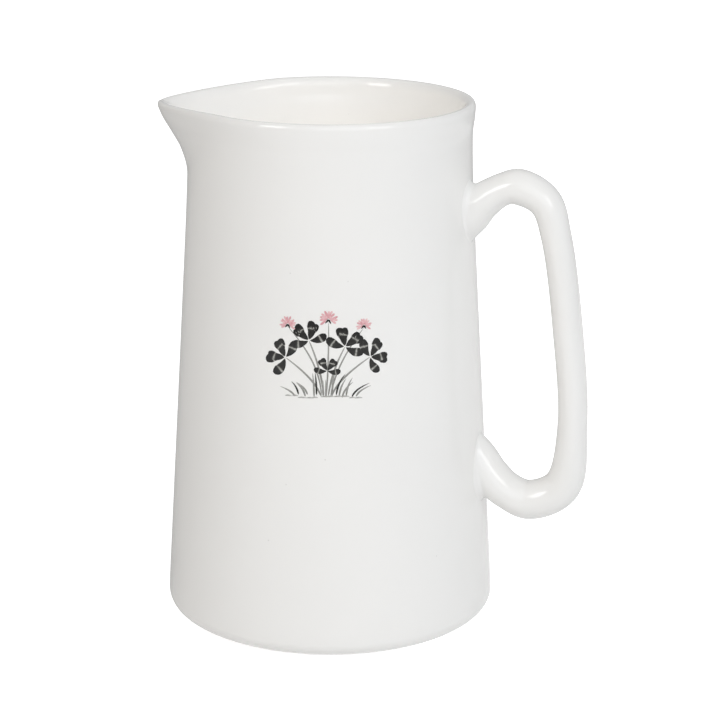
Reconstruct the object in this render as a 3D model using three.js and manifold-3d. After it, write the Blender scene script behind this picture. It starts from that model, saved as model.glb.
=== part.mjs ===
// A table jug in white glazed earthenware, made as a pottery makes it: a slip-cast body with its
// lip, spout and foot ring, an ear handle cast on its own, and the two slip joints that hold it on.
// Millimetres, +Z up. The handle points to +X and the spout to -X, and the jug stands on z = 0
// with the origin under the middle of its overall length.

import * as THREE from 'three';
import { mergeVertices } from 'three/addons/utils/BufferGeometryUtils.js';
import Module from 'manifold-3d';

const wasm = await Module();
wasm.setup();

// Body: a tapered wall that flares at the rim
const BODY_HEIGHT = 180;
const BASE_RADIUS = 57.6; // outside of the wall, just above the round edge of the foot
const NECK_RADIUS = 46.9; // outside of the straight taper, carried up to the rim
const LIP_FLARE = 2.5; // how far the wall turns out at the rim
const FLARE_LENGTH = 11.3; // height in which the flare dies away
const WALL = 4;
const LIP_CROWN = 1.9; // height of the rounded edge on top of the wall
const FLOOR = 4.5;
const FLOOR_CORNER = 9; // radius inside, between wall and floor
const FOOT_EDGE = 6; // radius outside, between wall and foot ring
const FOOT_RING_WIDTH = 4.5; // the flat that stands on the table
const FOOT_RECESS = 2; // depth of the hollow inside the foot ring

// Spout: the wall is drawn out in a keel that deepens up to the rim
const SPOUT_REACH = 12.9; // from the round rim out to the tip
const SPOUT_HEIGHT = 31.7; // from the rim down to where the keel starts
const SPOUT_BLEND = 8.8; // height in which the keel leaves the wall
const SPOUT_SPREAD = THREE.MathUtils.degToRad(54); // half of the rim's turn that the spout takes up
const SPOUT_TIP_ROUND = THREE.MathUtils.degToRad(4.8); // turn in which the tip is rounded
const SPOUT_FULLNESS = 2.27; // power of the sides' sweep, 2 being straight sides
const SPOUT_DIP = 3; // how far the tip hangs below the rim
const DIP_FULLNESS = 1.34; // power of the rim's fall towards the tip

// Handle: sizes of its oval section, in the plane of the ear and across it
const GRIP_DEPTH = 10;
const GRIP_WIDTH = 14;
const CROWN_DEPTH = 11.6;
const HEEL_DEPTH = 13.4;
const ROOT_DEPTH = 15.5;
const ROOT_WIDTH = 15.5;

// Handle: its centre line, each point by its height and its distance out from the wall
const UPPER_ROOT_DROP = 50.5; // heights of the upper half are drops below the rim
const UPPER_SPRING_DROP = 32;
const UPPER_SPRING_OUT = 6;
const CROWN_DROP = 26.2;
const CROWN_OUT = 16.7;
const SHOULDER_DROP = 30.8;
const SHOULDER_OUT = 25.3;
const GRIP_TOP_DROP = 42.5;
const GRIP_TOP_OUT = 29.1;
const GRIP_MIDDLE_OUT = 32.1; // half way between the grip's top and foot
const GRIP_FOOT_RISE = 72; // heights of the lower half are rises above the table
const GRIP_FOOT_OUT = 32.7;
const HEEL_RISE = 49.5;
const HEEL_OUT = 28.1;
const SOLE_RISE = 43.3;
const SOLE_OUT = 16.2;
const LOWER_SPRING_RISE = 47;
const LOWER_SPRING_OUT = 7.6;
const LOWER_ROOT_RISE = 64.5;
const ROOT_BURY = 12; // the centre line starts and ends this far inside the wall's face

// Slip joints
const JOINT_THICKNESS = 3.2; // from the wall to the handle's end, and the radius of the fillet round it
const SEAT_GAP = 0.3; // clearance between pieces that sit against each other

// Facets
const TURN_STEPS = 72;
const TURN_CROWDING = 0.5; // share by which the steps close up towards the spout
const WALL_STEPS = 4;
const SPOUT_STEPS = 8;
const ROUND_STEPS = 4; // in a quarter turn
const HANDLE_SIDES = 24;
const HANDLE_STEPS = 44;
const JOINT_STEPS = 6;
const WELD_DISTANCE = 1e-4; // corners closer than this are one corner

const glaze = { color: '#f0efea', roughness: 0.12, metalness: 0 };

// Outside radius of the wall at a height, without the spout
function wallRadius(z) {
  const taper = (NECK_RADIUS - BASE_RADIUS) / (BODY_HEIGHT - FOOT_EDGE);
  const flare = LIP_FLARE * Math.exp((z - BODY_HEIGHT) / FLARE_LENGTH);
  return BASE_RADIUS + taper * (z - FOOT_EDGE) + flare;
}

// Points of a quarter round or half round, as (radius, height) pairs
function arc(centreR, centreZ, radiusR, radiusZ, fromDegrees, toDegrees) {
  const points = [];
  const steps = Math.round(ROUND_STEPS * Math.abs(toDegrees - fromDegrees) / 90);
  for (let i = 0; i <= steps; i++) {
    const angle = THREE.MathUtils.degToRad(THREE.MathUtils.lerp(fromDegrees, toDegrees, i / steps));
    points.push(new THREE.Vector2(centreR + radiusR * Math.cos(angle), centreZ + radiusZ * Math.sin(angle)));
  }
  return points;
}

// Heights of the wall's rings: wide apart up to the spout, close together in it
function wallHeights(bottom, top) {
  const spoutStart = BODY_HEIGHT - SPOUT_HEIGHT;
  const heights = [];
  for (let i = 1; i <= WALL_STEPS; i++) {
    heights.push(THREE.MathUtils.lerp(bottom, spoutStart, i / WALL_STEPS));
  }
  for (let i = 1; i < SPOUT_STEPS; i++) {
    heights.push(THREE.MathUtils.lerp(spoutStart, top, i / SPOUT_STEPS));
  }
  return heights;
}

// How far the keel of the spout stands out from the wall at a height
function keelReach(z) {
  const rise = z - (BODY_HEIGHT - SPOUT_HEIGHT);
  const slope = SPOUT_REACH / (SPOUT_HEIGHT - SPOUT_BLEND / 2);
  if (rise <= 0) return 0;
  if (rise < SPOUT_BLEND) return slope * rise * rise / (2 * SPOUT_BLEND);
  return slope * (rise - SPOUT_BLEND / 2);
}

// Draws the spout out of a turned shape: each ring swells towards -X, and the rim dips there
function pullSpout(geometry) {
  const position = geometry.getAttribute('position');
  for (let i = 0; i < position.count; i++) {
    const turned = new THREE.Vector3().fromBufferAttribute(position, i);
    const even = Math.atan2(turned.y, -turned.x);
    const turn = even - TURN_CROWDING * Math.sin(even);
    const reach = keelReach(turned.z);
    let radius = Math.hypot(turned.x, turned.y);
    let height = turned.z;
    if (reach > 0 && radius > 0) {
      const share = reach / SPOUT_REACH;
      const rounded = Math.hypot(turn, SPOUT_TIP_ROUND) - SPOUT_TIP_ROUND;
      const inSpout = Math.max(0, 1 - rounded / (SPOUT_SPREAD * Math.sqrt(share)));
      const inDip = Math.max(0, 1 - Math.abs(turn) / SPOUT_SPREAD);
      radius += reach * inSpout ** SPOUT_FULLNESS;
      height -= SPOUT_DIP * share * inDip ** DIP_FULLNESS;
    }
    position.setXYZ(i, -radius * Math.cos(turn), radius * Math.sin(turn), height);
  }
  return geometry;
}

// A closed surface with its shared corners merged and its empty triangles dropped
function weld(geometry) {
  geometry.deleteAttribute('normal');
  geometry.deleteAttribute('uv');
  const merged = mergeVertices(geometry, WELD_DISTANCE);
  const corners = merged.getIndex().array;
  const kept = [];
  for (let i = 0; i < corners.length; i += 3) {
    const [a, b, c] = corners.slice(i, i + 3);
    if (a !== b && b !== c && c !== a) kept.push(a, b, c);
  }
  merged.setIndex(kept);
  return merged;
}

// Turns a profile round the jug's axis, with the seam on the handle's side
function revolve(profile) {
  const turned = new THREE.LatheGeometry(profile, TURN_STEPS, Math.PI / 2);
  return weld(pullSpout(turned.rotateX(Math.PI / 2)));
}

function toSolid(geometry) {
  return new wasm.Manifold(new wasm.Mesh({
    numProp: 3,
    vertProperties: new Float32Array(geometry.getAttribute('position').array),
    triVerts: new Uint32Array(geometry.getIndex().array),
  }));
}

function toGeometry(solid) {
  const mesh = solid.getMesh();
  const geometry = new THREE.BufferGeometry();
  geometry.setAttribute('position', new THREE.BufferAttribute(mesh.vertProperties, 3));
  geometry.setIndex(new THREE.BufferAttribute(mesh.triVerts, 1));
  return geometry;
}

function piece(name, geometry) {
  geometry.computeVertexNormals();
  const mesh = new THREE.Mesh(geometry, new THREE.MeshStandardMaterial(glaze));
  mesh.name = name;
  return mesh;
}

// The body's profile runs from the axis under the floor, up the outside, over the lip and down inside
function bodyProfile() {
  const ringOuter = wallRadius(FOOT_EDGE) - FOOT_EDGE;
  const ringInner = ringOuter - FOOT_RING_WIDTH;
  const lipBase = BODY_HEIGHT - LIP_CROWN;
  const floorTop = FOOT_RECESS + FLOOR;
  const cornerTop = floorTop + FLOOR_CORNER;
  const innerCorner = wallRadius(cornerTop) - WALL - FLOOR_CORNER;
  const outside = wallHeights(FOOT_EDGE, lipBase);
  const inside = wallHeights(cornerTop, lipBase).reverse();
  return [
    new THREE.Vector2(0, FOOT_RECESS),
    ...arc(ringInner - FOOT_RECESS, 0, FOOT_RECESS, FOOT_RECESS, 90, 0),
    ...arc(ringOuter, FOOT_EDGE, FOOT_EDGE, FOOT_EDGE, -90, 0),
    ...outside.map((z) => new THREE.Vector2(wallRadius(z), z)),
    ...arc(wallRadius(lipBase) - WALL / 2, lipBase, WALL / 2, LIP_CROWN, 0, 180),
    ...inside.map((z) => new THREE.Vector2(wallRadius(z) - WALL, z)),
    ...arc(innerCorner, cornerTop, FLOOR_CORNER, FLOOR_CORNER, 0, -90),
    new THREE.Vector2(0, floorTop),
  ];
}

// A solid that follows the outside of the wall at a distance, to trim what is stuck on it
function wallTool(distance) {
  const heights = [0, FOOT_EDGE, ...wallHeights(FOOT_EDGE, BODY_HEIGHT), BODY_HEIGHT];
  const wall = heights.map((z) => new THREE.Vector2(wallRadius(z) + distance, z));
  return toSolid(revolve([new THREE.Vector2(0, 0), ...wall, new THREE.Vector2(0, BODY_HEIGHT)]));
}

// Centre line and section of the handle, from the upper root round to the lower one
const gripMiddle = (BODY_HEIGHT - GRIP_TOP_DROP + GRIP_FOOT_RISE) / 2;
const upper = (drop, out, depth, width) => ({ z: BODY_HEIGHT - drop, out, depth, width });
const lower = (z, out, depth, width) => ({ z, out, depth, width });
const handleStations = [
  upper(UPPER_ROOT_DROP, -ROOT_BURY, ROOT_DEPTH, ROOT_WIDTH),
  upper(UPPER_SPRING_DROP, UPPER_SPRING_OUT, CROWN_DEPTH, GRIP_WIDTH),
  upper(CROWN_DROP, CROWN_OUT, CROWN_DEPTH, GRIP_WIDTH),
  upper(SHOULDER_DROP, SHOULDER_OUT, CROWN_DEPTH, GRIP_WIDTH),
  upper(GRIP_TOP_DROP, GRIP_TOP_OUT, GRIP_DEPTH, GRIP_WIDTH),
  lower(gripMiddle, GRIP_MIDDLE_OUT, GRIP_DEPTH, GRIP_WIDTH),
  lower(GRIP_FOOT_RISE, GRIP_FOOT_OUT, GRIP_DEPTH, GRIP_WIDTH),
  lower(HEEL_RISE, HEEL_OUT, HEEL_DEPTH, GRIP_WIDTH),
  lower(SOLE_RISE, SOLE_OUT, HEEL_DEPTH, ROOT_WIDTH),
  lower(LOWER_SPRING_RISE, LOWER_SPRING_OUT, HEEL_DEPTH, ROOT_WIDTH),
  lower(LOWER_ROOT_RISE, -ROOT_BURY, ROOT_DEPTH, ROOT_WIDTH),
];
const centreLine = new THREE.CatmullRomCurve3(
  handleStations.map(({ z, out }) => new THREE.Vector3(wallRadius(z) + out, 0, z)),
);
const sectionSizes = new THREE.CatmullRomCurve3(
  handleStations.map(({ depth, width }) => new THREE.Vector3(depth, width, 0)),
);
const ACROSS = new THREE.Vector3(0, 1, 0);
const HALVINGS = 30; // steps of the search for a point, which end well below a micrometre
const sideAngles = Array.from({ length: HANDLE_SIDES }, (_, i) => 2 * Math.PI * i / HANDLE_SIDES);
const rootLength = 2 * ROOT_BURY + ROOT_DEPTH; // enough of the centre line to be well clear of the wall
const rootShare = rootLength / centreLine.getLength();

// A point of the handle's skin: how far along the centre line, and the angle round its oval section
function skinPoint(along, angle) {
  const tangent = centreLine.getTangentAt(along);
  const { x: depth, y: width } = sectionSizes.getPoint(centreLine.getUtoTmapping(along));
  const inPlane = new THREE.Vector3(-tangent.z, 0, tangent.x);
  return centreLine.getPointAt(along)
    .addScaledVector(inPlane, Math.cos(angle) * depth / 2)
    .addScaledVector(ACROSS, Math.sin(angle) * width / 2);
}

function distanceFromWall(point) {
  return Math.hypot(point.x, point.y) - wallRadius(point.z);
}

// Slides a point in or out along its radius until it lies at a distance from the wall
function setOnWall(point, distance) {
  const stretch = (wallRadius(point.z) + distance) / Math.hypot(point.x, point.y);
  return point.set(point.x * stretch, point.y * stretch, point.z);
}

// The handle's section, square to the centre line
function handleRing(along) {
  return sideAngles.map((angle) => skinPoint(along, angle));
}

// Where one line of the handle's skin reaches a distance from the wall, between two shares of its length
function reachPoint(angle, distance, buried, clear) {
  let [near, far] = [buried, clear];
  for (let i = 0; i < HALVINGS; i++) {
    const middle = (near + far) / 2;
    if (distanceFromWall(skinPoint(middle, angle)) < distance) near = middle;
    else far = middle;
  }
  return skinPoint(near, angle);
}

// A ring round a root at one distance from the wall, widened along the wall as a fillet widens
function jointRing(distance, buried, clear) {
  const inside = THREE.MathUtils.clamp(JOINT_THICKNESS - distance, 0, JOINT_THICKNESS);
  const swell = JOINT_THICKNESS - Math.sqrt(JOINT_THICKNESS ** 2 - inside ** 2);
  const ring = sideAngles.map((angle) => reachPoint(angle, distance, buried, clear));
  const middle = ring.reduce((sum, point) => sum.add(point), new THREE.Vector3()).divideScalar(ring.length);
  return ring.map((point) => {
    const outward = point.clone().sub(middle).setX(0).normalize();
    return setOnWall(point.clone().addScaledVector(outward, swell), distance);
  });
}

// A closed loft through rings that follow each other along the centre line
function loft(rings) {
  const last = rings.length - 1;
  const faces = [];
  const at = (ring, side) => ring * HANDLE_SIDES + side % HANDLE_SIDES;
  for (let ring = 0; ring < last; ring++) {
    for (let side = 0; side < HANDLE_SIDES; side++) {
      const [a, b] = [at(ring, side), at(ring, side + 1)];
      const [c, d] = [at(ring + 1, side + 1), at(ring + 1, side)];
      faces.push(a, c, b, a, d, c);
    }
  }
  for (let side = 1; side < HANDLE_SIDES - 1; side++) {
    faces.push(at(0, 0), at(0, side), at(0, side + 1));
    faces.push(at(last, 0), at(last, side + 1), at(last, side));
  }
  const geometry = new THREE.BufferGeometry().setFromPoints(rings.flat());
  geometry.setIndex(faces);
  return toSolid(geometry);
}

// Evenly spaced values from one to another, both included
function spaced(from, to, steps) {
  return Array.from({ length: steps + 1 }, (_, i) => THREE.MathUtils.lerp(from, to, i / steps));
}

// The handle is a loft of ovals that runs into the wall at both ends and is trimmed clear of its joints
function makeHandle() {
  const rings = spaced(0, 1, HANDLE_STEPS).map(handleRing);
  return loft(rings).subtract(wallTool(JOINT_THICKNESS + SEAT_GAP));
}

// A slip joint fills the space between the wall and the handle's end, with a fillet round its edge
function makeJoint(buried, clear) {
  const distances = [-SEAT_GAP, ...spaced(0, JOINT_THICKNESS, JOINT_STEPS), JOINT_THICKNESS + SEAT_GAP];
  const rings = distances.map((distance) => jointRing(distance, buried, clear));
  if (clear < buried) rings.reverse();
  return loft(rings).intersect(wallTool(JOINT_THICKNESS)).subtract(wallTool(SEAT_GAP));
}

const jug = new THREE.Group();
jug.add(piece('jug_body', revolve(bodyProfile())));
jug.add(piece('handle', toGeometry(makeHandle())));
jug.add(piece('upper_slip_joint', toGeometry(makeJoint(0, rootShare))));
jug.add(piece('lower_slip_joint', toGeometry(makeJoint(1, 1 - rootShare))));

// The origin goes under the middle of the overall length
const overall = new THREE.Box3().setFromObject(jug);
jug.position.x = -(overall.min.x + overall.max.x) / 2;

export default jug;
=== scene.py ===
# %% [markdown]
# This lesson dresses a white glazed table jug. Its construction is there already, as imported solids:
# a cast body, an ear handle and the two slip joints that hold the handle on. Here each of them gets
# its smooth surface and its glaze, the front gets a small printed sprig, and a studio is set round it.
# Sizes are in metres, in the frame of the solids, so nothing is moved to fit afterwards.

# %% Load the solids
import math
import random

import bpy
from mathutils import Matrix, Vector, noise


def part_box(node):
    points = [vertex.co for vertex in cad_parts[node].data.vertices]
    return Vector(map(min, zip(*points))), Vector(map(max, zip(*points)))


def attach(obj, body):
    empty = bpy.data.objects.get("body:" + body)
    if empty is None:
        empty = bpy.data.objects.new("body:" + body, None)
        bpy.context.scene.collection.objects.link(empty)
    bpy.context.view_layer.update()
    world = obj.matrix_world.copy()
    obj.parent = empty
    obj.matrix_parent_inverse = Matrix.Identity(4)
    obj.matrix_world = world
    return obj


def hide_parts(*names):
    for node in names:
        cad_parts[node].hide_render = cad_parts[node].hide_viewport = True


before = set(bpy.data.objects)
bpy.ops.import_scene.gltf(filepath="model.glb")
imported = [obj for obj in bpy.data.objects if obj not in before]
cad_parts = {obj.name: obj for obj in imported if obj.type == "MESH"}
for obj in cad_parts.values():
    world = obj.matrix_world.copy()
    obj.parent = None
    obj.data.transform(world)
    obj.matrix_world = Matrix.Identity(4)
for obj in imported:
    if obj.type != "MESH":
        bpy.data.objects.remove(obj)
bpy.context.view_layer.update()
print("solids:", sorted(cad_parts))

# %% [markdown]
# A few sizes come straight from the solid body: its height, the radius of its base and where its
# axis stands. The others are the jug's own drawing sizes, written in millimetres. The wall is a
# straight taper with a flare that dies away below the rim and a soft roll just under the lip, so one
# formula gives its radius.

# %% Sizes of the jug
MM = 0.001

body_low, body_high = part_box("jug_body")
HEIGHT = body_high.z
BASE_RADIUS = body_high.y
AXIS_X = body_high.x - BASE_RADIUS
NECK_RADIUS = 46.9 * MM
LIP_FLARE = 1.95 * MM
FLARE_LENGTH = 12.5 * MM
ROLL = 0.58 * MM
ROLL_DROP = 7.8 * MM
ROLL_BLEND = 1.1 * MM
WALL = 4 * MM
LIP_OUTSIDE = 2.2 * MM
LIP_INSIDE = 3.4 * MM
LIP_CREST = 1.4 * MM
FLOOR = 4.5 * MM
FLOOR_CORNER = 9 * MM
FOOT_EDGE = 6 * MM
FOOT_ROUND = 5.2 * MM
FOOT_RING_WIDTH = 4.5 * MM
FOOT_RECESS = 2 * MM


def wall_radius(z):
    """The outside radius of the body at a height, spout apart."""
    taper = (NECK_RADIUS - BASE_RADIUS) / (HEIGHT - FOOT_EDGE)
    drop = HEIGHT - z
    flare = LIP_FLARE * math.exp(-drop / FLARE_LENGTH)
    roll = ROLL / (1 + math.exp((drop - ROLL_DROP) / ROLL_BLEND))
    return BASE_RADIUS + taper * (z - FOOT_EDGE) + flare + roll


print(f"height {HEIGHT / MM:.1f} mm, base radius {BASE_RADIUS / MM:.1f} mm, axis at x {AXIS_X / MM:.2f} mm")

# %% [markdown]
# The camera comes first, because every later choice is judged through it. The ellipses of the rim and
# the foot give its height and pitch, and how fast they differ gives its distance. It stands a little
# on the handle's side. The picture is a crop, so a small shift puts the jug left of the middle.

# %% Camera
FRAME_PIXELS = 720
AXIS_PIXEL = 330.2
FOCAL_PIXELS = 2267
SENSOR_WIDTH = 36
CAMERA_AZIMUTH = math.radians(16)
CAMERA_PITCH = math.radians(16.36)
CAMERA_DISTANCE = 760.2 * MM
CAMERA_HEIGHT = 311.2 * MM

bpy.ops.object.select_all(action="DESELECT")
bpy.ops.object.camera_add(
    location=(
        AXIS_X + CAMERA_DISTANCE * math.sin(CAMERA_AZIMUTH),
        -CAMERA_DISTANCE * math.cos(CAMERA_AZIMUTH),
        CAMERA_HEIGHT,
    ),
    rotation=(math.pi / 2 - CAMERA_PITCH, 0, CAMERA_AZIMUTH),
)
camera = bpy.context.object
camera.data.sensor_width = SENSOR_WIDTH
camera.data.lens = SENSOR_WIDTH * FOCAL_PIXELS / FRAME_PIXELS
camera.data.shift_x = (FRAME_PIXELS / 2 - AXIS_PIXEL) / FRAME_PIXELS
bpy.context.scene.camera = camera
print(f"lens {camera.data.lens:.1f} mm, shift {camera.data.shift_x:.4f}")

# %% [markdown]
# A jug body is cast in a plaster mould that was turned on a lathe, so its wall is a profile spun round
# an axis. The profile runs from under the floor, round the foot, up the outside, over the lip and down
# the inside. Round stretches come from one arc function, and the points stand closer together where the
# spout will be pulled. The outline could be extruded point by point, but it is quicker to add a circle
# of as many points, lay it on the profile and open it along the axis.

# %% Profile of the body
ROUND_STEPS = 10
WALL_STEPS = 28
SPOUT_STEPS = 28
SPOUT_HEIGHT = 31.7 * MM


def arc(centre_r, centre_z, radius_r, radius_z, start, end):
    """Points along a quarter or so of an ellipse; start and end are in degrees."""
    steps = round(ROUND_STEPS * abs(end - start) / 90)
    angles = [math.radians(start + (end - start) * i / steps) for i in range(steps + 1)]
    return [(centre_r + radius_r * math.cos(a), centre_z + radius_z * math.sin(a)) for a in angles]


def wall_heights(bottom, top):
    """Heights of the wall's rings, closer together where the spout will be."""
    spout_start = HEIGHT - SPOUT_HEIGHT
    lower = [bottom + (spout_start - bottom) * i / WALL_STEPS for i in range(1, WALL_STEPS)]
    upper = [spout_start + (top - spout_start) * i / SPOUT_STEPS for i in range(SPOUT_STEPS)]
    return lower + upper


ring_outer = BASE_RADIUS - FOOT_ROUND
ring_inner = ring_outer - FOOT_RING_WIDTH
lip_low, lip_high = HEIGHT - LIP_INSIDE, HEIGHT - LIP_OUTSIDE
crest = wall_radius(lip_high) - LIP_CREST
inner_width = crest - wall_radius(lip_low) + WALL
floor_top = FOOT_RECESS + FLOOR
corner_top = floor_top + FLOOR_CORNER
corner_radius = wall_radius(corner_top) - WALL - FLOOR_CORNER
outside = [(wall_radius(z), z) for z in wall_heights(FOOT_ROUND, lip_high)]
inside = [(wall_radius(z) - WALL, z) for z in reversed(wall_heights(corner_top, lip_low))]
profile = [
    (0, FOOT_RECESS),
    *arc(ring_inner - FOOT_RECESS, 0, FOOT_RECESS, FOOT_RECESS, 90, 0),
    *arc(ring_outer, FOOT_ROUND, FOOT_ROUND, FOOT_ROUND, -90, 0),
    *outside,
    *arc(crest, lip_high, LIP_CREST, LIP_OUTSIDE, 0, 90)[:-1],
    *arc(crest, lip_low, inner_width, LIP_INSIDE, 90, 180),
    *inside,
    *arc(corner_radius, corner_top, FLOOR_CORNER, FLOOR_CORNER, 0, -90),
    (0, floor_top),
]
print(len(profile), "points in the profile")

# %% Spin the profile
TURN_STEPS = 320
MERGE_DISTANCE = 0.001 * MM


def spin_profile(name, points):
    """A closed skin spun round the jug's axis from points of radius and height."""
    bpy.ops.object.select_all(action="DESELECT")
    bpy.ops.mesh.primitive_circle_add(vertices=len(points), radius=HEIGHT)
    piece = bpy.context.object
    piece.name = piece.data.name = name
    bpy.ops.object.mode_set(mode="EDIT")
    bpy.ops.mesh.select_all(action="DESELECT")
    bpy.ops.object.mode_set(mode="OBJECT")
    for vertex, (radius, height) in zip(piece.data.vertices, points):
        vertex.co = (AXIS_X + radius, 0, height)
        vertex.select = radius == 0
    bpy.ops.object.mode_set(mode="EDIT")
    bpy.ops.mesh.delete(type="EDGE")
    bpy.ops.mesh.select_all(action="SELECT")
    bpy.ops.mesh.spin(steps=TURN_STEPS, angle=2 * math.pi, center=(AXIS_X, 0, 0), axis=(0, 0, 1))
    bpy.ops.mesh.select_all(action="SELECT")
    bpy.ops.mesh.remove_doubles(threshold=MERGE_DISTANCE)
    bpy.ops.mesh.normals_make_consistent(inside=False)
    bpy.ops.object.mode_set(mode="OBJECT")
    return piece


body = spin_profile("glazed_body", profile)
print(body.name, len(body.data.polygons), "faces")

# %% [markdown]
# The spout is pulled out of the soft wall with a finger: the wall swells into a keel that leaves the
# body low down and reaches furthest at the rim, and the rim sinks a little towards the tip. No edit
# tool gives this shape to a millimetre, so the rings are moved by a formula: how far the keel stands
# out at a height, times how near a point is to the keel.

# %% Pull the spout
SPOUT_REACH = 12.65 * MM
SPOUT_BLEND = 8.8 * MM
SPOUT_SPREAD = math.radians(54)
SPOUT_TIP_ROUND = math.radians(4.8)
SPOUT_FULLNESS = 2.27
SPOUT_DIP = 3 * MM
DIP_FULLNESS = 1.34
TIP_BULGE = 1.05 * MM
TIP_BULGE_HEIGHT = 16 * MM


def keel_reach(z):
    """How far the keel of the spout stands out from the wall at a height."""
    rise = z - (HEIGHT - SPOUT_HEIGHT)
    slope = SPOUT_REACH / (SPOUT_HEIGHT - SPOUT_BLEND / 2)
    if rise <= 0:
        return 0
    if rise < SPOUT_BLEND:
        return slope * rise * rise / (2 * SPOUT_BLEND)
    return slope * (rise - SPOUT_BLEND / 2)


def pull_spout(point):
    """Where a point of the body goes when the spout is pulled."""
    across = Vector((point.x - AXIS_X, point.y))
    reach = keel_reach(point.z)
    if reach == 0 or across.length == 0:
        return point
    share = reach / SPOUT_REACH
    drop = HEIGHT - point.z
    in_wall = min(1, max(0, (across.length - wall_radius(point.z) + WALL) / WALL))
    if drop < TIP_BULGE_HEIGHT:
        reach += TIP_BULGE * in_wall * math.sin(math.pi * drop / TIP_BULGE_HEIGHT)
    turn = math.atan2(across.y, -across.x)
    rounded = math.hypot(turn, SPOUT_TIP_ROUND) - SPOUT_TIP_ROUND
    in_spout = max(0, 1 - rounded / (SPOUT_SPREAD * math.sqrt(share)))
    in_dip = max(0, 1 - abs(turn) / SPOUT_SPREAD)
    out = across * (1 + reach * in_spout**SPOUT_FULLNESS / across.length)
    return Vector((AXIS_X + out.x, out.y, point.z - SPOUT_DIP * share * in_dip**DIP_FULLNESS))


for vertex in body.data.vertices:
    vertex.co = pull_spout(vertex.co)
tip = min(body.data.vertices, key=lambda vertex: vertex.co.x).co
print(f"tip of the spout at x {tip.x / MM:.1f}, z {tip.z / MM:.1f} mm")

# %% [markdown]
# Real cast ware is never quite true: fettling and the kiln leave the wall a few hundredths of a
# millimetre out, which shows only as a slight sway in the reflections. A soft noise with a wave of a few
# centimetres gives the wall that sway. The rings are close enough for smooth shading, so no subdivision
# is needed: it would also be slow at the two poles, where hundreds of faces meet.

# %% Smooth the body
SWAY_WAVE = 45 * MM
SWAY_DEPTH = 0.05 * MM


def sway(point):
    """How far the wall is out of true at a point."""
    return SWAY_DEPTH * noise.noise(point / SWAY_WAVE)


for vertex in body.data.vertices:
    if vertex.co.z > FOOT_EDGE:
        outward = Vector((vertex.co.x - AXIS_X, vertex.co.y, 0)).normalized()
        vertex.co += outward * sway(vertex.co)
bpy.ops.object.shade_smooth()
print(body.name, "sways by up to", SWAY_DEPTH / MM, "mm")

# %% [markdown]
# The handle is cast on its own: an oval rope of clay bent to an ear. Its centre line is a smooth curve
# through a few points, each given by its height and its distance out from the wall, and the oval is
# deeper at the crown and the heel than in the grip. A curve object could carry one fixed oval, but not
# one that changes in one direction only, so the skin is worked out as a function of two things: how far
# along the centre line, and the angle round the oval.

# %% Centre line of the handle
GRIP_DEPTH, GRIP_WIDTH = 10 * MM, 14 * MM
BEND_DEPTH, CROWN_DEPTH = 11 * MM, 12 * MM
TURN_DEPTH, HEEL_DEPTH = 13 * MM, 13.5 * MM
NECK_DEPTH, NECK_WIDTH = 12.5 * MM, 15 * MM
ROOT_DEPTH, ROOT_WIDTH = 15.5 * MM, 15.5 * MM
BURIED_DEPTH = 17 * MM
ROOT_BURY = 12 * MM
GRIP_TOP = HEIGHT - 42.5 * MM
GRIP_FOOT = 72 * MM

# Each station: height, distance out from the wall, depth and width of the oval
stations = [
    (HEIGHT - 46.5 * MM, -ROOT_BURY, BURIED_DEPTH, ROOT_WIDTH),
    (HEIGHT - 35.5 * MM, 0, ROOT_DEPTH, ROOT_WIDTH),
    (HEIGHT - 31.5 * MM, 5 * MM, NECK_DEPTH, NECK_WIDTH),
    (HEIGHT - 27.5 * MM, 11.5 * MM, BEND_DEPTH, GRIP_WIDTH),
    (HEIGHT - 26.5 * MM, 17 * MM, CROWN_DEPTH, GRIP_WIDTH),
    (HEIGHT - 31 * MM, 25.5 * MM, BEND_DEPTH, GRIP_WIDTH),
    (GRIP_TOP, 29 * MM, GRIP_DEPTH, GRIP_WIDTH),
    ((GRIP_TOP + GRIP_FOOT) / 2, 32 * MM, GRIP_DEPTH, GRIP_WIDTH),
    (GRIP_FOOT, 32.5 * MM, GRIP_DEPTH, GRIP_WIDTH),
    (49.5 * MM, 28 * MM, TURN_DEPTH, GRIP_WIDTH),
    (43.5 * MM, 16.5 * MM, HEEL_DEPTH, NECK_WIDTH),
    (46 * MM, 9 * MM, NECK_DEPTH, ROOT_WIDTH),
    (51 * MM, 3 * MM, HEEL_DEPTH, ROOT_WIDTH),
    (56 * MM, -1.5 * MM, ROOT_DEPTH, ROOT_WIDTH),
    (66 * MM, -ROOT_BURY, BURIED_DEPTH, ROOT_WIDTH),
]
knots = [Vector((AXIS_X + wall_radius(z) + out, 0, z)) for z, out, depth, width in stations]
ovals = [Vector((depth, width, 0)) for z, out, depth, width in stations]
EVEN_STEP = math.sqrt(MM)
NUDGE = 1e-4


def spline(points, place):
    """A centripetal curve through the points; place runs from 0 to 1, evenly from point to point."""
    last = len(points) - 1
    index = min(int(place * last), last - 1)
    share = place * last - index
    b, c = points[index], points[index + 1]
    a = points[index - 1] if index else 2 * b - c
    d = points[index + 2] if index + 2 <= last else 2 * c - b
    bc = math.sqrt((c - b).length) or EVEN_STEP
    ab = math.sqrt((b - a).length) or bc
    cd = math.sqrt((d - c).length) or bc
    leave = ((b - a) / ab - (c - a) / (ab + bc) + (c - b) / bc) * bc
    arrive = ((c - b) / bc - (d - b) / (bc + cd) + (d - c) / cd) * bc
    square, cube = share**2, share**3
    start = b * (2 * cube - 3 * square + 1) + leave * (cube - 2 * square + share)
    return start + c * (3 * square - 2 * cube) + arrive * (cube - square)


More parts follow.
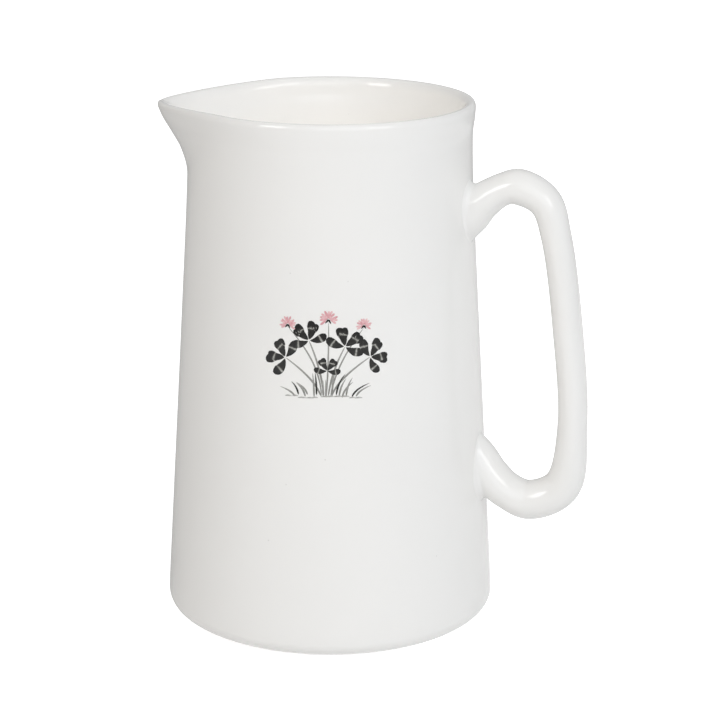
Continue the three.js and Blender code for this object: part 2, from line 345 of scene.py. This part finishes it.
def skin_point(place, angle):
    """The point of the handle's skin at a place along it and an angle round the oval."""
    ahead = spline(knots, min(place + NUDGE, 1))
    behind = spline(knots, max(place - NUDGE, 0))
    tangent = (ahead - behind).normalized()
    oval = spline(ovals, place)
    in_plane = Vector((-tangent.z, 0, tangent.x)) * math.cos(angle) * oval.x / 2
    across = Vector((0, 1, 0)) * math.sin(angle) * oval.y / 2
    return spline(knots, place) + in_plane + across


print(f"the grip stands out to x {skin_point(0.5, math.pi).x / MM:.1f} mm")

# %% [markdown]
# Before firing, the handle's ends are dipped in slip and pressed on the wall. The slip that squeezes out
# is wiped to a fillet, and the glaze runs over it all, so no seam shows. Handle and joints are therefore
# made of the same lines, each running along the skin at one angle. A search finds where a line reaches a
# given distance from the wall. A flat grid is then rolled up: every point goes where its line puts it.

# %% Roll up the handle
HANDLE_SIDES = 64
HANDLE_ROWS = 160
JOINT_THICKNESS = 3.2 * MM
OVERLAP = 0.8 * MM
HALVINGS = 24
CREASE_ANGLE = math.radians(50)
UPPER_ROOT = (0, 0.2)
LOWER_ROOT = (1, 0.75)


def wall_distance(point):
    return math.hypot(point.x - AXIS_X, point.y) - wall_radius(point.z)


def place_at(distance, angle, root):
    """The place, between a root's buried end and its clear end, at which a line is so far from the wall."""
    buried, clear = root
    for step in range(HALVINGS):
        middle = (buried + clear) / 2
        if wall_distance(skin_point(middle, angle)) < distance:
            buried = middle
        else:
            clear = middle
    return buried


def shaped_grid(name, columns, rows, shape):
    """A flat grid whose points go where shape(u, v) puts them, u and v running from 0 to 1."""
    bpy.ops.object.select_all(action="DESELECT")
    bpy.ops.mesh.primitive_grid_add(x_subdivisions=columns, y_subdivisions=rows, size=1)
    piece = bpy.context.object
    piece.name = piece.data.name = name
    for vertex in piece.data.vertices:
        vertex.co = shape(vertex.co.x + 0.5, vertex.co.y + 0.5)
    return piece


def close_tube(piece):
    """Joins the long seam of a rolled-up grid, caps its ends and turns its faces outwards."""
    bpy.ops.object.mode_set(mode="EDIT")
    bpy.ops.mesh.select_all(action="SELECT")
    bpy.ops.mesh.remove_doubles(threshold=MERGE_DISTANCE)
    bpy.ops.mesh.fill_holes(sides=0)
    bpy.ops.mesh.select_all(action="SELECT")
    bpy.ops.mesh.normals_make_consistent(inside=False)
    bpy.ops.object.mode_set(mode="OBJECT")
    bpy.ops.object.shade_smooth_by_angle(angle=CREASE_ANGLE)


line_ends = {}
for side in range(HANDLE_SIDES + 1):
    angle = 2 * math.pi * side / HANDLE_SIDES
    line_ends[side] = [place_at(JOINT_THICKNESS - OVERLAP, angle, root) for root in (UPPER_ROOT, LOWER_ROOT)]


def handle_skin(u, v):
    start, end = line_ends[round(u * HANDLE_SIDES)]
    return skin_point(start + (end - start) * v, 2 * math.pi * u)


handle = shaped_grid("glazed_handle", HANDLE_SIDES, HANDLE_ROWS, handle_skin)
close_tube(handle)
print(handle.name, len(handle.data.polygons), "faces")

# %% [markdown]
# A joint is a collar of the same lines, from the wall to just inside the handle. In the corner between
# the two lies the arc that a ball leaves when it is rolled round: wide where the handle leans over the
# wall, and narrow where it leaves the wall at a slant. The toe sinks into the wall by a hair, which gives
# the faint crease that glaze shows round a stuck-on handle.

# %% Slip joints
JOINT_ROWS = 32
FILLET_SHARE = 0.6
BALL_RADIUS = 1.6 * MM
WIDEST_FILLET = 3 * MM
TOE_DEPTH = 0.04 * MM
TUCK = 0.05 * MM


def joint_line(angle, middle, root):
    """What the collar needs of one line: its corner with the wall, and the reach of the fillet there."""
    corner = skin_point(place_at(0, angle, root), angle)
    outward = Vector((0, corner.y - middle.y, corner.z - middle.z)).normalized()
    lean = outward.dot(skin_point(place_at(BALL_RADIUS, angle, root), angle) - corner)
    opening = math.atan2(BALL_RADIUS, lean)
    reach = min(BALL_RADIUS / math.tan(opening / 2), WIDEST_FILLET)
    height = reach * math.sin(opening)
    places = [place_at(distance, angle, root) for distance in (height, JOINT_THICKNESS + OVERLAP)]
    return corner, outward, opening, reach, height, places


def make_joint(name, root):
    """The collar of slip round one root of the handle."""
    angles = [2 * math.pi * side / HANDLE_SIDES for side in range(HANDLE_SIDES + 1)]
    toes = [skin_point(place_at(0, angle, root), angle) for angle in angles[1:]]
    middle = sum(toes, Vector()) / HANDLE_SIDES
    lines = [joint_line(angle, middle, root) for angle in angles]

    def collar(u, v):
        corner, outward, opening, reach, height, (low, high) = lines[round(u * HANDLE_SIDES)]
        if v > FILLET_SHARE:
            share = (v - FILLET_SHARE) / (1 - FILLET_SHARE)
            return skin_point(low + (high - low) * share, 2 * math.pi * u) - outward * TUCK * share**2
        share = v / FILLET_SHARE
        at_toe, at_top = (1 - share) ** 2, share**2
        total = at_toe + 2 * math.sin(opening / 2) * share * (1 - share) + at_top
        top = skin_point(low, 2 * math.pi * u)
        point = corner + (outward * reach * at_toe + (top - corner) * at_top) / total
        distance = height * at_top / total - TOE_DEPTH * at_toe
        radius = wall_radius(point.z) + sway(point) + distance
        across = Vector((point.x - AXIS_X, point.y)).normalized() * radius
        return Vector((AXIS_X + across.x, across.y, point.z))

    piece = shaped_grid(name, HANDLE_SIDES, JOINT_ROWS, collar)
    close_tube(piece)
    return piece


upper_joint = make_joint("upper_joint_glazed", UPPER_ROOT)
lower_joint = make_joint("lower_joint_glazed", LOWER_ROOT)
print("joints:", len(upper_joint.data.polygons), "and", len(lower_joint.data.polygons), "faces")

# %% [markdown]
# The sprig on the front is a decal: ceramic inks printed on a film, slid on the glazed jug and fired once
# more, so the ink sinks into the glaze. It is a tuft of clover in brush strokes: black leaves with a pale
# chevron, pink blossoms, grey stems and grass. A painted texture could show it, but strokes of real
# outline stay sharp at any size. One strip is modelled, and every stroke is a copy laid along a curve.

# %% A brush stroke
STROKE_STEPS = 18
STROKE_SIDES = 3
PRINT_TURN = math.radians(14.5)
PRINT_CENTRE = 105 * MM
INK_LIFT = 0.03 * MM
INK_STEP = 0.0004 * MM
INK_FILM = 0.012 * MM
INK_EDGE_ANGLE = math.radians(30)
THINNEST = 0.05 * MM
WOBBLE = 0.09
CHEVRON_PLACE, CHEVRON_WIDTH = 0.55, 0.08

bpy.ops.object.select_all(action="DESELECT")
bpy.ops.mesh.primitive_grid_add(x_subdivisions=STROKE_STEPS, y_subdivisions=STROKE_SIDES, size=1)
strip = bpy.context.object
strip.data.attributes.new("wash", "FLOAT", "POINT")
strip_places = [(vertex.co.x + 0.5, vertex.co.y) for vertex in strip.data.vertices]
strokes = {"black": [], "pink": [], "grey": []}


def on_wall(right, up, lift):
    """The point on the wall that lies right and up from the middle of the print."""
    z = PRINT_CENTRE + up
    turn = PRINT_TURN + right / wall_radius(z)
    outward = Vector((math.sin(turn), -math.cos(turn), 0))
    foot = Vector((AXIS_X, 0, z)) + outward * wall_radius(z)
    return foot + outward * (sway(foot) + lift)


def stroke(ink, start, bend, end, width, belly=0.5, fullness=0.7, wash=(0, 0), chevron=0):
    """A stroke along a curve from start to end that is drawn towards bend; places are in millimetres."""
    number = sum(len(laid) for laid in strokes.values())
    lift = INK_LIFT + INK_STEP * number
    start, bend, end = (Vector(place) * MM for place in (start, bend, end))
    power = math.log(0.5) / math.log(belly)
    mesh = strip.data.copy()
    for index, (along, side) in enumerate(strip_places):
        spine = start * (1 - along) ** 2 + bend * 2 * along * (1 - along) + end * along**2
        heading = (bend - start) * (1 - along) + (end - bend) * along
        normal = Vector((-heading.y, heading.x)).normalized()
        swell = max(0, math.sin(math.pi * along**power)) ** fullness
        rough = 1 + WOBBLE * noise.noise(Vector((5 * along, 2 * side, 3.7 * number)))
        spot = spine + normal * side * max(width * MM * swell * rough, THINNEST)
        mesh.vertices[index].co = on_wall(spot.x, spot.y, lift)
        pale = chevron * math.exp(-(((along - CHEVRON_PLACE) / CHEVRON_WIDTH) ** 2))
        mesh.attributes["wash"].data[index].value = wash[0] + (wash[1] - wash[0]) * along + pale
    piece = bpy.data.objects.new(ink + "_stroke", mesh)
    bpy.context.collection.objects.link(piece)
    strokes[ink].append(piece)


# %% [markdown]
# The tuft is drawn from parts. A leaflet is two fat strokes that leave the midrib bare, a leaf has three
# leaflets, and a blossom is a fan of short petals over two sepals. Heights and directions vary a little,
# as they would by hand.

# %% Draw the tuft
LEAF_ANGLE = 66
TIP_TURN, BEND_TURN, START_TURN = 16, 41, 40
GRASS_BLADES, GROUND_STROKES = 15, 11
GROUND = -14
hand = random.Random(4)


def ahead(place, direction, distance):
    """The place a distance from another, in a direction counted from upright towards the right."""
    angle = math.radians(direction)
    return (place[0] + distance * math.sin(angle), place[1] + distance * math.cos(angle))


def leaflet(base, direction, length):
    """Two fat strokes side by side that make a heart."""
    for side in (-1, 1):
        tip = ahead(base, direction + side * TIP_TURN, length)
        bend = ahead(base, direction + side * BEND_TURN, length * 0.72)
        start = ahead(base, direction + side * START_TURN, length * 0.06)
        stroke("black", start, bend, tip, length * 0.47, 0.62, 0.5, (0.1, 0), 0.8)


def leaf(place, direction, length):
    """Three leaflets round one place, no two quite alike."""
    for turn in (-LEAF_ANGLE, LEAF_ANGLE, 0):
        leaflet(place, direction + turn, length * hand.uniform(0.92, 1.06))


def stem(end, bow, width):
    """A stalk from the ground to its end, bowed sideways."""
    bend = (end[0] / 2 + bow, (GROUND + end[1]) / 2)
    stroke("grey", (end[0] * 0.12, GROUND), bend, end, width, 0.4, 0.3, (0, 0.5))


def blossom(place, radius):
    """Three rows of petals, each shorter and narrower than the last, over two sepals."""
    for reach, count, spread in ((1, 11, 118), (0.72, 8, 100), (0.42, 5, 75)):
        for i in range(count):
            direction = spread * (2 * i / (count - 1) - 1) + hand.uniform(-5, 5)
            near = ahead(place, direction, radius * reach * 0.25)
            far = ahead(place, direction, radius * reach * hand.uniform(0.92, 1.08))
            bend = ahead(place, direction + hand.uniform(-9, 9), radius * reach * 0.6)
            stroke("pink", near, bend, far, radius * 0.25, 0.68, 0.6, (0.1, hand.uniform(0.2, 0.9)))
    for direction in (-140, 150):
        stroke("black", place, ahead(place, direction, 0.5), ahead(place, direction, radius * 0.55), 0.6, 0.4)


# Each leaf: place, direction and length; each blossom: place and radius
leaves = [((-13.5, -1.5), -58, 6.4), ((-5.6, 4.6), -16, 6.2), ((6.2, 2.6), 22, 6.6), ((14.6, -1.2), 64, 6)]
blossoms = [((-12.6, 9.6), 2.7), ((0.8, 11.6), 3), ((12.4, 9.4), 2.5)]
for place, direction, length in leaves:
    stem(place, -0.22 * place[0], 0.65)
for place, radius in blossoms:
    stem((place[0], place[1] - radius * 0.3), -0.3 * place[0] + 0.8, 0.5)
for i in range(GRASS_BLADES):
    foot = -10 + 20 * i / (GRASS_BLADES - 1) + hand.uniform(-0.6, 0.6)
    height = hand.uniform(5, 11) * (1 - abs(foot) / 22)
    lean = 0.45 * foot + hand.uniform(-2, 2)
    base = (foot, GROUND + hand.uniform(-0.5, 0.5))
    tip = (foot + lean, base[1] + height)
    ink = "black" if i % 4 == 1 else "grey"
    stroke(ink, base, (foot + lean * 0.15, base[1] + height * 0.6), tip, 0.62, 0.32, 0.6, (0, 0.6))
for i in range(GROUND_STROKES):
    left = -13.5 + 2.3 * i + hand.uniform(-0.5, 0.5)
    low = GROUND - 0.4 + hand.uniform(-0.5, 0.3)
    reach = hand.uniform(2, 3.6)
    crest_of_ground = (left + reach / 2, low + 0.35)
    stroke("grey", (left, low), crest_of_ground, (left + reach, low), 0.5, 0.5, 0.6, (0.4, 0.9))
for place, direction, length in leaves:
    leaf(place, direction, length)
leaf((0.4, -5.4), 4, 4.6)
for place, radius in blossoms:
    blossom(place, radius)
print({ink: len(laid) for ink, laid in strokes.items()}, "strokes")

# %% [markdown]
# The strokes of one ink are one film. Joining them leaves three pieces, and a Solidify modifier gives
# each film its thickness, inwards, so the drawn outline stays on top.

# %% Join the inks
bpy.data.objects.remove(strip)


def join_ink(name, laid):
    """One film of ink from the strokes that were laid in it."""
    bpy.ops.object.select_all(action="DESELECT")
    for piece in laid:
        piece.select_set(True)
    bpy.context.view_layer.objects.active = laid[0]
    bpy.ops.object.join()
    film = bpy.context.object
    film.name = film.data.name = name
    thickness = film.modifiers.new("film", "SOLIDIFY")
    thickness.thickness = INK_FILM
    thickness.offset = -1
    bpy.ops.object.modifier_apply(modifier="film")
    bpy.ops.object.mode_set(mode="EDIT")
    bpy.ops.mesh.select_all(action="SELECT")
    bpy.ops.mesh.normals_make_consistent(inside=False)
    bpy.ops.object.mode_set(mode="OBJECT")
    bpy.ops.object.shade_smooth_by_angle(angle=INK_EDGE_ANGLE)
    return film


black_print = join_ink("black_ink_print", strokes["black"])
pink_print = join_ink("pink_ink_print", strokes["pink"])
grey_print = join_ink("grey_ink_print", strokes["grey"])
prints = (black_print, pink_print, grey_print)
print("inks:", [len(film.data.polygons) for film in prints], "faces")

# %% [markdown]
# Each of the four pieces stands for one solid, which is hidden. They and the ink films all ride on the
# one body that the jug has, because nothing on it moves.

# %% Put the pieces in the frame
for piece, node in (
    (body, "jug_body"),
    (handle, "handle"),
    (upper_joint, "upper_slip_joint"),
    (lower_joint, "lower_slip_joint"),
):
    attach(piece, "root")
    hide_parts(node)
for film in prints:
    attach(film, "root")
print("dressed:", body.name, handle.name, upper_joint.name, lower_joint.name)

# %% [markdown]
# White earthenware is a cream-white clay under a clear glossy glaze. The clay gives the colour and the
# glaze the reflections. Up close the glaze is not quite flat: it has a soft orange peel, and here and
# there a pinhole where a bubble broke. The foot ring is wiped bare, or the jug would stick in the kiln.

# %% Colours and nodes
def linear(hex_colour):
    """The linear colour of an sRGB hex code."""
    channels = [int(hex_colour[i : i + 2], 16) / 255 for i in (1, 3, 5)]
    return [c / 12.92 if c <= 0.04045 else ((c + 0.055) / 1.055) ** 2.4 for c in channels] + [1]


def add_node(tree, kind, inputs=None, **settings):
    """A node with its settings; an input is a value, or the output that it is linked from."""
    node = tree.nodes.new(kind)
    for name, value in settings.items():
        setattr(node, name, value)
    for name, value in (inputs or {}).items():
        if isinstance(value, bpy.types.NodeSocket):
            tree.links.new(value, node.inputs[name])
        else:
            node.inputs[name].default_value = value
    return node


def new_material(name):
    """A material with its node tree and its shader."""
    material = bpy.data.materials.new(name)
    material.use_nodes = True
    return material, material.node_tree, material.node_tree.nodes["Principled BSDF"]


# %% White earthenware under a clear gloss glaze
GLAZE_IOR = 1.5
GLAZE_ROUGHNESS = 0.03
PEEL_WAVE = 5 * MM
PEEL_DEPTH = 0.004 * MM
CLOUD_WAVE = 40 * MM
PINHOLE_SPACING = 11 * MM
PINHOLE_RADIUS = 0.3 * MM
PINHOLE_STRENGTH = 0.45
WIPED_HEIGHT = 0.3 * MM
BARE_ROUGHNESS = 0.7


def glazed_material(name):
    """A material with the gloss and the orange peel of the glaze; its colour is linked in by the caller."""
    material, tree, shader = new_material(name)
    place = add_node(tree, "ShaderNodeTexCoord").outputs["Object"]
    peel = add_node(
        tree, "ShaderNodeTexNoise", {"Vector": place, "Scale": 1 / PEEL_WAVE, "Detail": 1, "Roughness": 0.3}
    )
    bump = add_node(
        tree, "ShaderNodeBump", {"Height": peel.outputs["Fac"], "Distance": PEEL_DEPTH, "Strength": 1}
    )
    tree.links.new(bump.outputs["Normal"], shader.inputs["Normal"])
    shader.inputs["Roughness"].default_value = GLAZE_ROUGHNESS
    shader.inputs["IOR"].default_value = GLAZE_IOR
    return material, tree, shader, place


def ramp(tree, value, colours):
    """A colour ramp with its colours evenly spread."""
    node = add_node(tree, "ShaderNodeValToRGB", {"Fac": value})
    stops = node.color_ramp.elements
    while len(stops) < len(colours):
        stops.new(1)
    for index, colour in enumerate(colours):
        stops[index].position = index / (len(colours) - 1)
        stops[index].color = linear(colour)
    return node.outputs["Color"]


# The clay's own cloudiness, a few grey pinholes, and the bare cream clay of the wiped foot ring
glaze, tree, shader, place = glazed_material("white_earthenware_clear_glaze")
cloud = add_node(
    tree, "ShaderNodeTexNoise", {"Vector": place, "Scale": 1 / CLOUD_WAVE, "Detail": 2, "Roughness": 0.4}
)
clay = ramp(tree, cloud.outputs["Fac"], ["#F5F4F2", "#F9F8F6"])
cells = add_node(tree, "ShaderNodeTexVoronoi", {"Vector": place, "Scale": 1 / PINHOLE_SPACING})
pinhole = add_node(
    tree,
    "ShaderNodeMapRange",
    {
        "Value": cells.outputs["Distance"],
        "From Max": PINHOLE_RADIUS / PINHOLE_SPACING,
        "To Min": PINHOLE_STRENGTH,
        "To Max": 0,
    },
)
specked = add_node(
    tree,
    "ShaderNodeMix",
    {"Factor": pinhole.outputs["Result"], "A": clay, "B": linear("#8A857C")},
    data_type="RGBA",
)
height = add_node(tree, "ShaderNodeSeparateXYZ", {"Vector": place}).outputs["Z"]
wiped = add_node(
    tree, "ShaderNodeMapRange", {"Value": height, "From Max": WIPED_HEIGHT, "To Min": 1, "To Max": 0}
)
colour = add_node(
    tree,
    "ShaderNodeMix",
    {"Factor": wiped.outputs["Result"], "A": specked.outputs["Result"], "B": linear("#E6DFD0")},
    data_type="RGBA",
)
rough = add_node(
    tree,
    "ShaderNodeMapRange",
    {"Value": wiped.outputs["Result"], "To Min": GLAZE_ROUGHNESS, "To Max": BARE_ROUGHNESS},
)
tree.links.new(colour.outputs["Result"], shader.inputs["Base Color"])
tree.links.new(rough.outputs["Result"], shader.inputs["Roughness"])
for piece in (body, handle, upper_joint, lower_joint):
    piece.data.materials.clear()
    piece.data.materials.append(glaze)
print("glaze:", len(tree.nodes), "nodes")

# %% [markdown]
# Fired ink takes the gloss of the glaze that it sinks into. What the eye sees of a brush is how the ink
# varies: full where it pools, thinner where the brush ran dry. The strokes carry that as an attribute, and
# a fine noise breaks it up.

# %% Fired inks
INK_GRAIN = 0.8 * MM
INK_UNEVENNESS = 0.35


def ink_material(name, colours):
    """A glossy ink that runs through its colours from where it pools to where the brush ran dry."""
    ink, tree, shader, place = glazed_material(name)
    wash = add_node(tree, "ShaderNodeAttribute", attribute_name="wash").outputs["Fac"]
    grain = add_node(tree, "ShaderNodeTexNoise", {"Vector": place, "Scale": 1 / INK_GRAIN, "Detail": 3})
    uneven = add_node(
        tree,
        "ShaderNodeMapRange",
        {"Value": grain.outputs["Fac"], "To Min": -INK_UNEVENNESS, "To Max": INK_UNEVENNESS},
    )
    thin = add_node(tree, "ShaderNodeMath", {0: wash, 1: uneven.outputs["Result"]}, operation="ADD")
    tree.links.new(ramp(tree, thin.outputs[0], colours), shader.inputs["Base Color"])
    return ink


black_print.data.materials.append(ink_material("black_ceramic_ink", ["#0C0C0B", "#3A3A37", "#C9C8C2"]))
pink_print.data.materials.append(ink_material("pink_ceramic_ink", ["#D6929A", "#EABBBF", "#F6DEDD"]))
grey_print.data.materials.append(ink_material("grey_ceramic_ink", ["#83837F", "#A6A5A1", "#D4D3CF"]))
print("inks on", [film.name for film in prints])

# %% [markdown]
# The studio is a pale table and a white room. The room shows white to the camera and in reflections, and
# lights the jug at a plain level. A large soft box stands high in front, with a cool one on the right and
# a warm one on the left. A deep pot swallows light, so a small lamp inside lifts the hollow to the tone
# that a long exposure gives it.

# %% Studio
ROOM_LIGHT = 0.53
FLOOR_SIZE = 4
FLOOR_DROP = 0.1 * MM
PAPER_GLOW = 0.72
LAMP_DISTANCE = 1.8
HOLLOW_LAMP_RADIUS = 25 * MM
HOLLOW_LAMP_HEIGHT = 115 * MM
HOLLOW_LAMP_POWER = 0.024


def seen_directly(tree):
    """1 for the rays that show the set, in the camera or in the glaze, and 0 for those that light the jug."""
    rays = add_node(tree, "ShaderNodeLightPath").outputs
    shown = rays["Is Camera Ray"]
    for kind in ("Is Glossy Ray", "Is Transmission Ray"):
        shown = add_node(tree, "ShaderNodeMath", {0: shown, 1: rays[kind]}, operation="MAXIMUM").outputs[0]
    return shown


world = bpy.data.worlds.new("white_room")
bpy.context.scene.world = world
world.use_nodes = True
tree = world.node_tree
tree.nodes.clear()
strength = add_node(
    tree, "ShaderNodeMapRange", {"Value": seen_directly(tree), "To Min": ROOM_LIGHT, "To Max": 1}
)
room = add_node(
    tree, "ShaderNodeBackground", {"Color": (1, 1, 1, 1), "Strength": strength.outputs["Result"]}
)
add_node(tree, "ShaderNodeOutputWorld", {"Surface": room.outputs["Background"]})

bpy.ops.object.select_all(action="DESELECT")
bpy.ops.mesh.primitive_plane_add(size=FLOOR_SIZE, location=(0, 0, -FLOOR_DROP))
table = bpy.context.object
table.name = "table"
paper, tree, shader = new_material("white_paper")
shader.inputs["Base Color"].default_value = linear("#EEEEEE")
shader.inputs["Roughness"].default_value = 0.9
shader.inputs["Specular IOR Level"].default_value = 0
shader.inputs["Emission Color"].default_value = (1, 1, 1, 1)
glow = add_node(tree, "ShaderNodeMath", {0: seen_directly(tree), 1: PAPER_GLOW}, operation="MULTIPLY")
tree.links.new(glow.outputs[0], shader.inputs["Emission Strength"])
table.data.materials.append(paper)


def aim_at(azimuth, elevation):
    """The direction from the jug at angles counted from the camera's side and from the table."""
    turn = CAMERA_AZIMUTH + math.radians(azimuth)
    rise = math.radians(elevation)
    return Vector((math.cos(rise) * math.sin(turn), -math.cos(rise) * math.cos(turn), math.sin(rise)))


def soft_box(name, azimuth, elevation, size, power, colour):
    """A soft box that looks at the middle of the jug."""
    aim = aim_at(azimuth, elevation)
    bpy.ops.object.select_all(action="DESELECT")
    bpy.ops.object.light_add(
        type="AREA",
        location=Vector((AXIS_X, 0, HEIGHT / 2)) + aim * LAMP_DISTANCE,
        rotation=aim.to_track_quat("Z", "Y").to_euler(),
    )
    lamp = bpy.context.object
    lamp.name = name
    lamp.data.shape = "RECTANGLE"
    lamp.data.size, lamp.data.size_y = size
    lamp.data.energy = power
    lamp.data.color = linear(colour)[:3]
    return lamp


soft_box("soft_box_front", 10, 30, (1.6, 1.6), 8.6, "#F3F9FF")
right_lamp = soft_box("soft_box_right", 38, 28, (0.7, 0.9), 4.4, "#FBFDFF")
left_lamp = soft_box("soft_box_left", -44, 28, (0.9, 0.9), 2.5, "#FFE9C8")
right_lamp.visible_glossy = left_lamp.visible_glossy = False

bpy.ops.object.select_all(action="DESELECT")
bpy.ops.object.light_add(
    type="POINT", radius=HOLLOW_LAMP_RADIUS, location=(AXIS_X, 0, HOLLOW_LAMP_HEIGHT)
)
hollow_light = bpy.context.object
hollow_light.name = "hollow_light"
hollow_light.data.energy = HOLLOW_LAMP_POWER
hollow_light.data.color = linear("#FFFBF6")[:3]
hollow_light.visible_camera = hollow_light.visible_glossy = False

# %% [markdown]
# On a white set the edges of a glossy pot reflect white and vanish, so photographers choose what it
# mirrors. Here only reflections see the set: a white table top, a grey ring beyond its edge, a paler far
# wall, all dimmer at the back on the left, and the fronts of the two side lamps.

# %% Cards
CARD_INNER = 56 * MM
TABLE_EDGE = 740 * MM
CARD_FAR = 2600 * MM
CARD_RISE = 300 * MM
CARD_TOP = 3500 * MM
CARD_STEPS = 64
CARD_LIFT = 1 * MM
DARK_SIDE = (-0.9, 0.44, 0)
DARK_REACH = 0.9
PANEL_SIZE = (0.6, 0.7)


def seen_in_glaze(card, brightness):
    """Gives a card a plain glow and hides it from all but reflections."""
    card.visible_camera = card.visible_diffuse = card.visible_shadow = False
    card.visible_transmission = card.visible_volume_scatter = False
    paint, tree, shader = new_material(card.name)
    shader.inputs["Base Color"].default_value = linear("#000000")
    shader.inputs["Specular IOR Level"].default_value = 0
    shader.inputs["Emission Color"].default_value = (1, 1, 1, 1)
    shader.inputs["Emission Strength"].default_value = brightness
    card.data.materials.append(paint)
    return tree, shader


def ring_card(name, front, back, outline):
    """A ring round the jug along an outline of radius and height, darkest at the back on the left."""

    def ring(u, v):
        radius, height = outline[round(v * (len(outline) - 1))]
        turn = 2 * math.pi * u
        return Vector((AXIS_X + radius * math.sin(turn), -radius * math.cos(turn), height))

    tree, shader = seen_in_glaze(shaped_grid(name, CARD_STEPS, len(outline) - 1, ring), front)
    place = add_node(tree, "ShaderNodeTexCoord").outputs["Object"]
    bearing = add_node(tree, "ShaderNodeVectorMath", {0: place}, operation="NORMALIZE").outputs["Vector"]
    depth = add_node(tree, "ShaderNodeVectorMath", {0: bearing, 1: DARK_SIDE}, operation="DOT_PRODUCT")
    glow = add_node(
        tree,
        "ShaderNodeMapRange",
        {"Value": depth.outputs["Value"], "From Max": DARK_REACH, "To Min": front, "To Max": back},
    )
    tree.links.new(glow.outputs["Result"], shader.inputs["Emission Strength"])


def panel(name, azimuth, elevation, size, brightness):
    """The front of a soft box, as the glaze mirrors it."""
    aim = aim_at(azimuth, elevation)
    across = Vector((0, 0, 1)).cross(aim).normalized() * size[0]
    upward = aim.cross(across).normalized() * size[1]
    centre = Vector((AXIS_X, 0, HEIGHT / 2)) + aim * LAMP_DISTANCE
    face = shaped_grid(name, 1, 1, lambda u, v: centre + across * (u - 0.5) + upward * (v - 0.5))
    seen_in_glaze(face, brightness)


ring_card("white_card", 0.9, 0.42, [(CARD_INNER, CARD_LIFT), (TABLE_EDGE, CARD_LIFT)])
ring_card("grey_card", 0.6, 0.38, [(TABLE_EDGE, CARD_LIFT), (CARD_FAR, CARD_RISE)])
ring_card("pale_card", 0.55, 0.55, [(CARD_FAR, CARD_RISE), (CARD_FAR, CARD_TOP)])
panel("panel_right", 41, 30, PANEL_SIZE, 4)
panel("panel_left", -47, 30, PANEL_SIZE, 6)
print("cards round the jug,", round(CARD_FAR / MM), "mm out")

# %% Finish
bpy.context.scene.view_settings.view_transform = "Standard"
